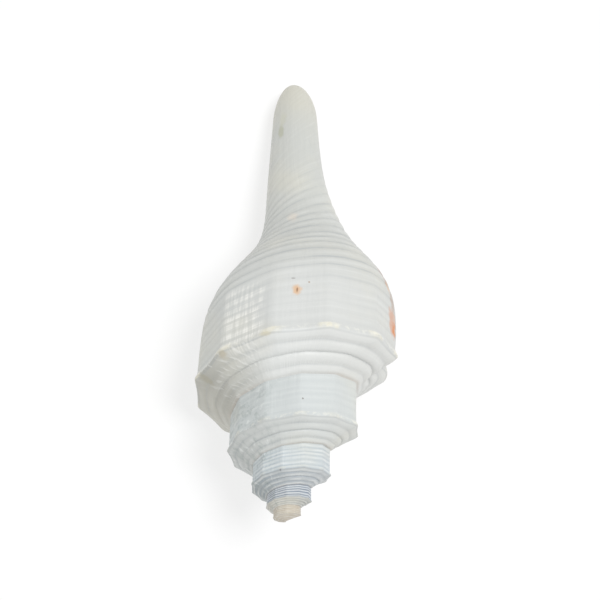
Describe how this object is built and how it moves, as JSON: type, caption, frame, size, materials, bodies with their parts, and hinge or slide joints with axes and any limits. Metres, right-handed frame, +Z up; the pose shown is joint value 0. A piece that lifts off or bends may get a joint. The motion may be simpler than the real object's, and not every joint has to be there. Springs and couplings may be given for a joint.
{
  "type": "conch shell",
  "caption": "Whole right-handed sea snail shell with a stepped, knobbed spire, a long open siphonal canal and a hollow aperture, lying on its aperture.",
  "frame": {"origin": "middle of the bounding box, on the surface that the shell lies on", "axes": "+Y towards the end of the siphonal canal, +Z up out of the back of the shell, the lip towards +X"},
  "size_m": [0.061, 0.1578, 0.0546],
  "materials": {
    "shell": "off-white limy shell with a dull shine and fine growth lines"
  },
  "bodies": {
    "root": {"shell": "shell"}
  },
  "joints": []
}
